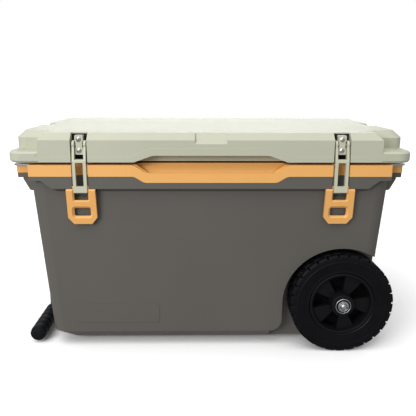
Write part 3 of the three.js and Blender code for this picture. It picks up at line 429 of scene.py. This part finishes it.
def middle_of(node):
    low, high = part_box(node)
    return (low + high) / 2


# ---- Wheels ----

LUGS = 30
TREAD_DEPTH = 4.0
LUG_SHARES = ((0.0, 0), (0.03, 1), (0.16, 1), (0.19, 0), (0.4, 0), (0.6, 0), (0.8, 0))
SIDEWALL = ((63.4, 20), (63.4, 21.4), (65, 22.6), (67, 22.6), (68, 22.1), (74, 23.2), (80, 23.7))
SHOULDER_RIB = ((85, 23.7), (85.8, 24.2), (87, 24.2), (87.8, 23.6))
SHOULDER = ((89, 23.5, 0.7), (93.5, 23.2, 1.8), (98.4, 22.5, 2.6), (99.6, 21.4, 3.4))
TREAD_ROWS = (
    # from y, to y, shift of the lugs there in lug pitches, zigzag of each edge
    (20.0, 10.6, 0.0, 0.22, 0.0, 1.5),
    (8.4, 0.9, 0.72, 0.5, 1.5, 1.0),
)
TYRE_RADIUS = 100
ROW_EDGE = 0.4
SPOKES = {"count": 5, "first": 66, "width": 36, "inner": 20.5, "outer": 56, "ends": (-15, -3)}
RIM_FLANGE = (
    (62.9, 19), (62.9, 21.4), (61.9, 22.6), (59.6, 22.9), (57.6, 22.3), (56.9, 20.8)
)
BARREL_INSIDE = ((55.6, -14), (54.6, -2), (54.6, 14))
HUB_FRONT = ((9.3, -29.8), (12.6, -29.8), (13.0, -31.0), (19.6, -31.0), (21.2, -30.4))
HUB_SIDE = ((21.9, -28.8), (22.5, -14), (22.5, 26.4), (9.3, 26.4))
# Painted shade: a black disc across the back of the spokes, a dark sheet that fills the windows between
# the spokes with the shade seen there.
WEB_OF_PAINTED_SHADE = ((21.5, 12), (56, 12), (56, 15), (21.5, 15))
HUB_RING = {"radius": 14.2, "y0": -33.0, "y1": -31.2, "half": 0.8}
NUT_RIM = ((9.3, -34), (9.6, -34.3), (10.3, -34.1), (10.6, -33.4), (10.6, -31.6), (9.3, -31.6))
NUT_COLLAR = (
    (6.1, -34.6), (6.4, -34.8), (7.2, -34.4), (7.4, -33.8), (7.4, -31.8), (6.1, -31.8)
)
NUT_TEETH = {"count": 5, "first": 90, "width": 48, "inner": 7.2, "outer": 9.5, "ends": (-34.0, -32.2)}
AXLE_TIP = ((0, 231), (2.2, 230.7), (4.0, 229.7), (5.2, 228.2), (5.75, 226.4), (5.8, 224))


def between(start, end, share):
    return start + (end - start) * share


def tyre_stations():
    """Points of the cross-section: radius, y, groove depth, shift in lug pitches and zigzag."""
    half = [(radius, y, 0, 0, 0) for radius, y in SIDEWALL + SHOULDER_RIB]
    half += [(radius, y, depth, 0, 0) for radius, y, depth in SHOULDER]
    for y0, y1, shift0, shift1, zigzag0, zigzag1 in TREAD_ROWS:
        for share in (0.0, 0.5, 1.0):
            y = between(y0, y1, share)
            shift = between(shift0, shift1, share)
            zigzag = between(zigzag0, zigzag1, share)
            half.append((TYRE_RADIUS, y, TREAD_DEPTH, shift, zigzag))
        half.append((TYRE_RADIUS - TREAD_DEPTH, y1 - ROW_EDGE, 0, shift1, zigzag1))
    other = [(radius, -y, depth, -shift, zigzag) for radius, y, depth, shift, zigzag in half]
    return other + half[::-1]


def zigzag_wave(turn):
    return abs(turn % 1 - 0.5) * 4 - 1


def tyre_shell():
    stations = tyre_stations()
    points = []
    for radius, y, depth, shift, zigzag in stations:
        for lug in range(LUGS):
            for share, opened in LUG_SHARES:
                turn = lug + share + shift
                angle = 2 * math.pi * turn / LUGS
                here = radius - depth * opened
                across = y + zigzag * zigzag_wave(turn)
                points.append((here * math.cos(angle), across, here * math.sin(angle)))
    return points, grid_faces(len(stations), LUGS * len(LUG_SHARES), True)


def ring_of_sectors(shape):
    """Equal ring sectors set round the axle: the spokes, or the teeth of a nut."""
    pitch = 360 / shape["count"]
    return [
        prism(
            sector(shape["inner"], shape["outer"], shape["first"] + pitch * i, shape["width"]),
            *shape["ends"],
        )
        for i in range(shape["count"])
    ]


def rim_shells():
    front = [(radius, -y) for radius, y in RIM_FLANGE]
    barrel = revolved([*front, *BARREL_INSIDE, *reversed(RIM_FLANGE)], 96)
    hub = revolved(HUB_FRONT + HUB_SIDE, 64)
    # The black web behind the spokes is painted shade for the windows between them.
    return [barrel, hub, revolved(WEB_OF_PAINTED_SHADE, 64), *ring_of_sectors(SPOKES)]


def push_nut_shells():
    return [revolved(NUT_RIM, 48), revolved(NUT_COLLAR, 48), *ring_of_sectors(NUT_TEETH)]


def axle_shell():
    other_tip = [(radius, -y) for radius, y in reversed(AXLE_TIP)]
    return revolved([*AXLE_TIP, *other_tip], 48, False)


def round_section(radius, y0, y1, half):
    """The section of a ring with rounded faces, at a mean radius."""
    middle = (y0 + y1) / 2
    depth = (y1 - y0) / 2
    turns = [2 * math.pi * step / 12 for step in range(12)]
    return [(radius + half * math.cos(t), middle + depth * math.sin(t)) for t in turns]


def add_wheels():
    for name, turn in (("front", 0.0), ("rear", math.pi)):
        place = Matrix.Translation(middle_of(f"tyre_{name}")) @ Matrix.Rotation(turn, 4, "Z")
        body = f"wheel_{name}"
        tyre, rim, ring, nut = (
            f"{stem}_{name}" for stem in ("tyre", "wheel_rim", "hub_ring", "push_nut")
        )
        add_piece(f"lugged_{tyre}", [tyre_shell()], place, body, "tyre_rubber", tyre, 0.35)
        add_piece(f"spoked_{rim}", rim_shells(), place, body, "wheel_black", rim, 0.5)
        hub_ring = revolved(round_section(**HUB_RING), 64)
        add_piece(f"round_{ring}", [hub_ring], place, body, "stainless", ring)
        add_piece(f"toothed_{nut}", push_nut_shells(), place, "tub", "stainless", nut, 0.15)
    place = Matrix.Translation(middle_of("axle"))
    add_piece("domed_axle", [axle_shell()], place, "tub", "stainless", "axle")


# ---- Grips of the tow handle ----

GRIP_RIBS = 6
GRIP_ENDS = (58.0, 175.7)
GRIP_RADIUS = 15.8
GRIP_BORE = 10.3
RIB_SHAPE = (  # share of the rib's length, depth below its crown
    (0.04, 1.5),
    (0.1, 0.5),
    (0.2, 0.1),
    (0.5, 0),
    (0.8, 0.1),
    (0.9, 0.5),
    (0.96, 1.5),
)
CAP_FACE = ((0, -178.6), (9.4, -178.6), (10.6, -178.1), (11.2, -177.0), (12.0, -176.7))
CAP_EDGE = ((14.0, -176.9), (14.9, -176.4), (14.9, -176.0), (0, -176.0))


def grip_shell():
    start, end = GRIP_ENDS
    pitch = (end - start) / GRIP_RIBS
    outside = []
    for rib in range(GRIP_RIBS):
        foot = start + pitch * rib
        for share, sunk in RIB_SHAPE:
            outside.append((GRIP_RADIUS - sunk, -(foot + pitch * share)))
    return revolved([(GRIP_BORE, -start), *outside, (GRIP_BORE, -end)], 64)


def grip_cap_shell():
    return revolved(CAP_FACE + CAP_EDGE, 64, False)


def add_grips():
    low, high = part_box("grip_front")
    axis = Vector(((low.x + high.x) / 2, 0, (low.z + high.z) / 2))
    for name, turn in (("front", 0.0), ("rear", math.pi)):
        place = Matrix.Translation(axis) @ Matrix.Rotation(turn, 4, "Z")
        grip = f"grip_{name}"
        cap = f"grip_cap_{name}"
        add_piece(f"ribbed_{grip}", [grip_shell()], place, "tow_handle", "grip_rubber", grip)
        add_piece(f"round_{cap}", [grip_cap_shell()], place, "tow_handle", "grip_rubber", cap)


# ---- Latch screws ----

SCREW_RADIUS = 4.75
CROSS_HALF_WIDTH = 0.55
CROSS_REACH = 2.5
CROSS_DEPTH = 1.3
CROWN_HEIGHT = 2.6
CROWN_FOOT = 5.4
SHANK_RADIUS = 2.0
SHANK_END = 10.6
SCREW_STEPS = 48
RING_PITCH = 0.45
SCREW_RINGS = [RING_PITCH * i for i in range(10)] + [4.5, SCREW_RADIUS]
SCREW_SHANK = (
    (SCREW_RADIUS, 0.0),
    (SHANK_RADIUS, 0.0),
    (SHANK_RADIUS, SHANK_END),
    (0.0, SHANK_END),
)


def screw_circle(radius):
    """The (x, z) points of one ring of the screw."""
    turns = [2 * math.pi * step / SCREW_STEPS for step in range(SCREW_STEPS)]
    return [(radius * math.cos(turn), radius * math.sin(turn)) for turn in turns]


def screw_shell():
    """A round-headed screw that points along Y, with a cross recess sunk into its head."""
    points = []
    for radius in SCREW_RINGS:
        crown = CROWN_HEIGHT * (1 - (radius / CROWN_FOOT) ** 2)
        for x, z in screw_circle(radius):
            in_cross = min(abs(x), abs(z)) < CROSS_HALF_WIDTH and radius < CROSS_REACH
            points.append((x, -crown + (CROSS_DEPTH if in_cross else 0), z))
    for radius, y in SCREW_SHANK:
        points += [(x, y, z) for x, z in screw_circle(radius)]
    return points, grid_faces(len(SCREW_RINGS) + len(SCREW_SHANK), SCREW_STEPS, False)


def add_screws():
    for side in ("left", "right"):
        for height in ("upper", "lower"):
            node = f"latch_screw_{side}_{height}"
            low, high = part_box(node)
            seat = Vector(((low.x + high.x) / 2, high.y - SHANK_END * MM, (low.z + high.z) / 2))
            place = Matrix.Translation(seat)
            add_piece(f"domed_{node}", [screw_shell()], place, "lid", "stainless", node)


make_camera()
make_light()
make_floor()
dress_cad_nodes()
soften_cad_nodes()
add_wheels()
add_grips()
add_screws()
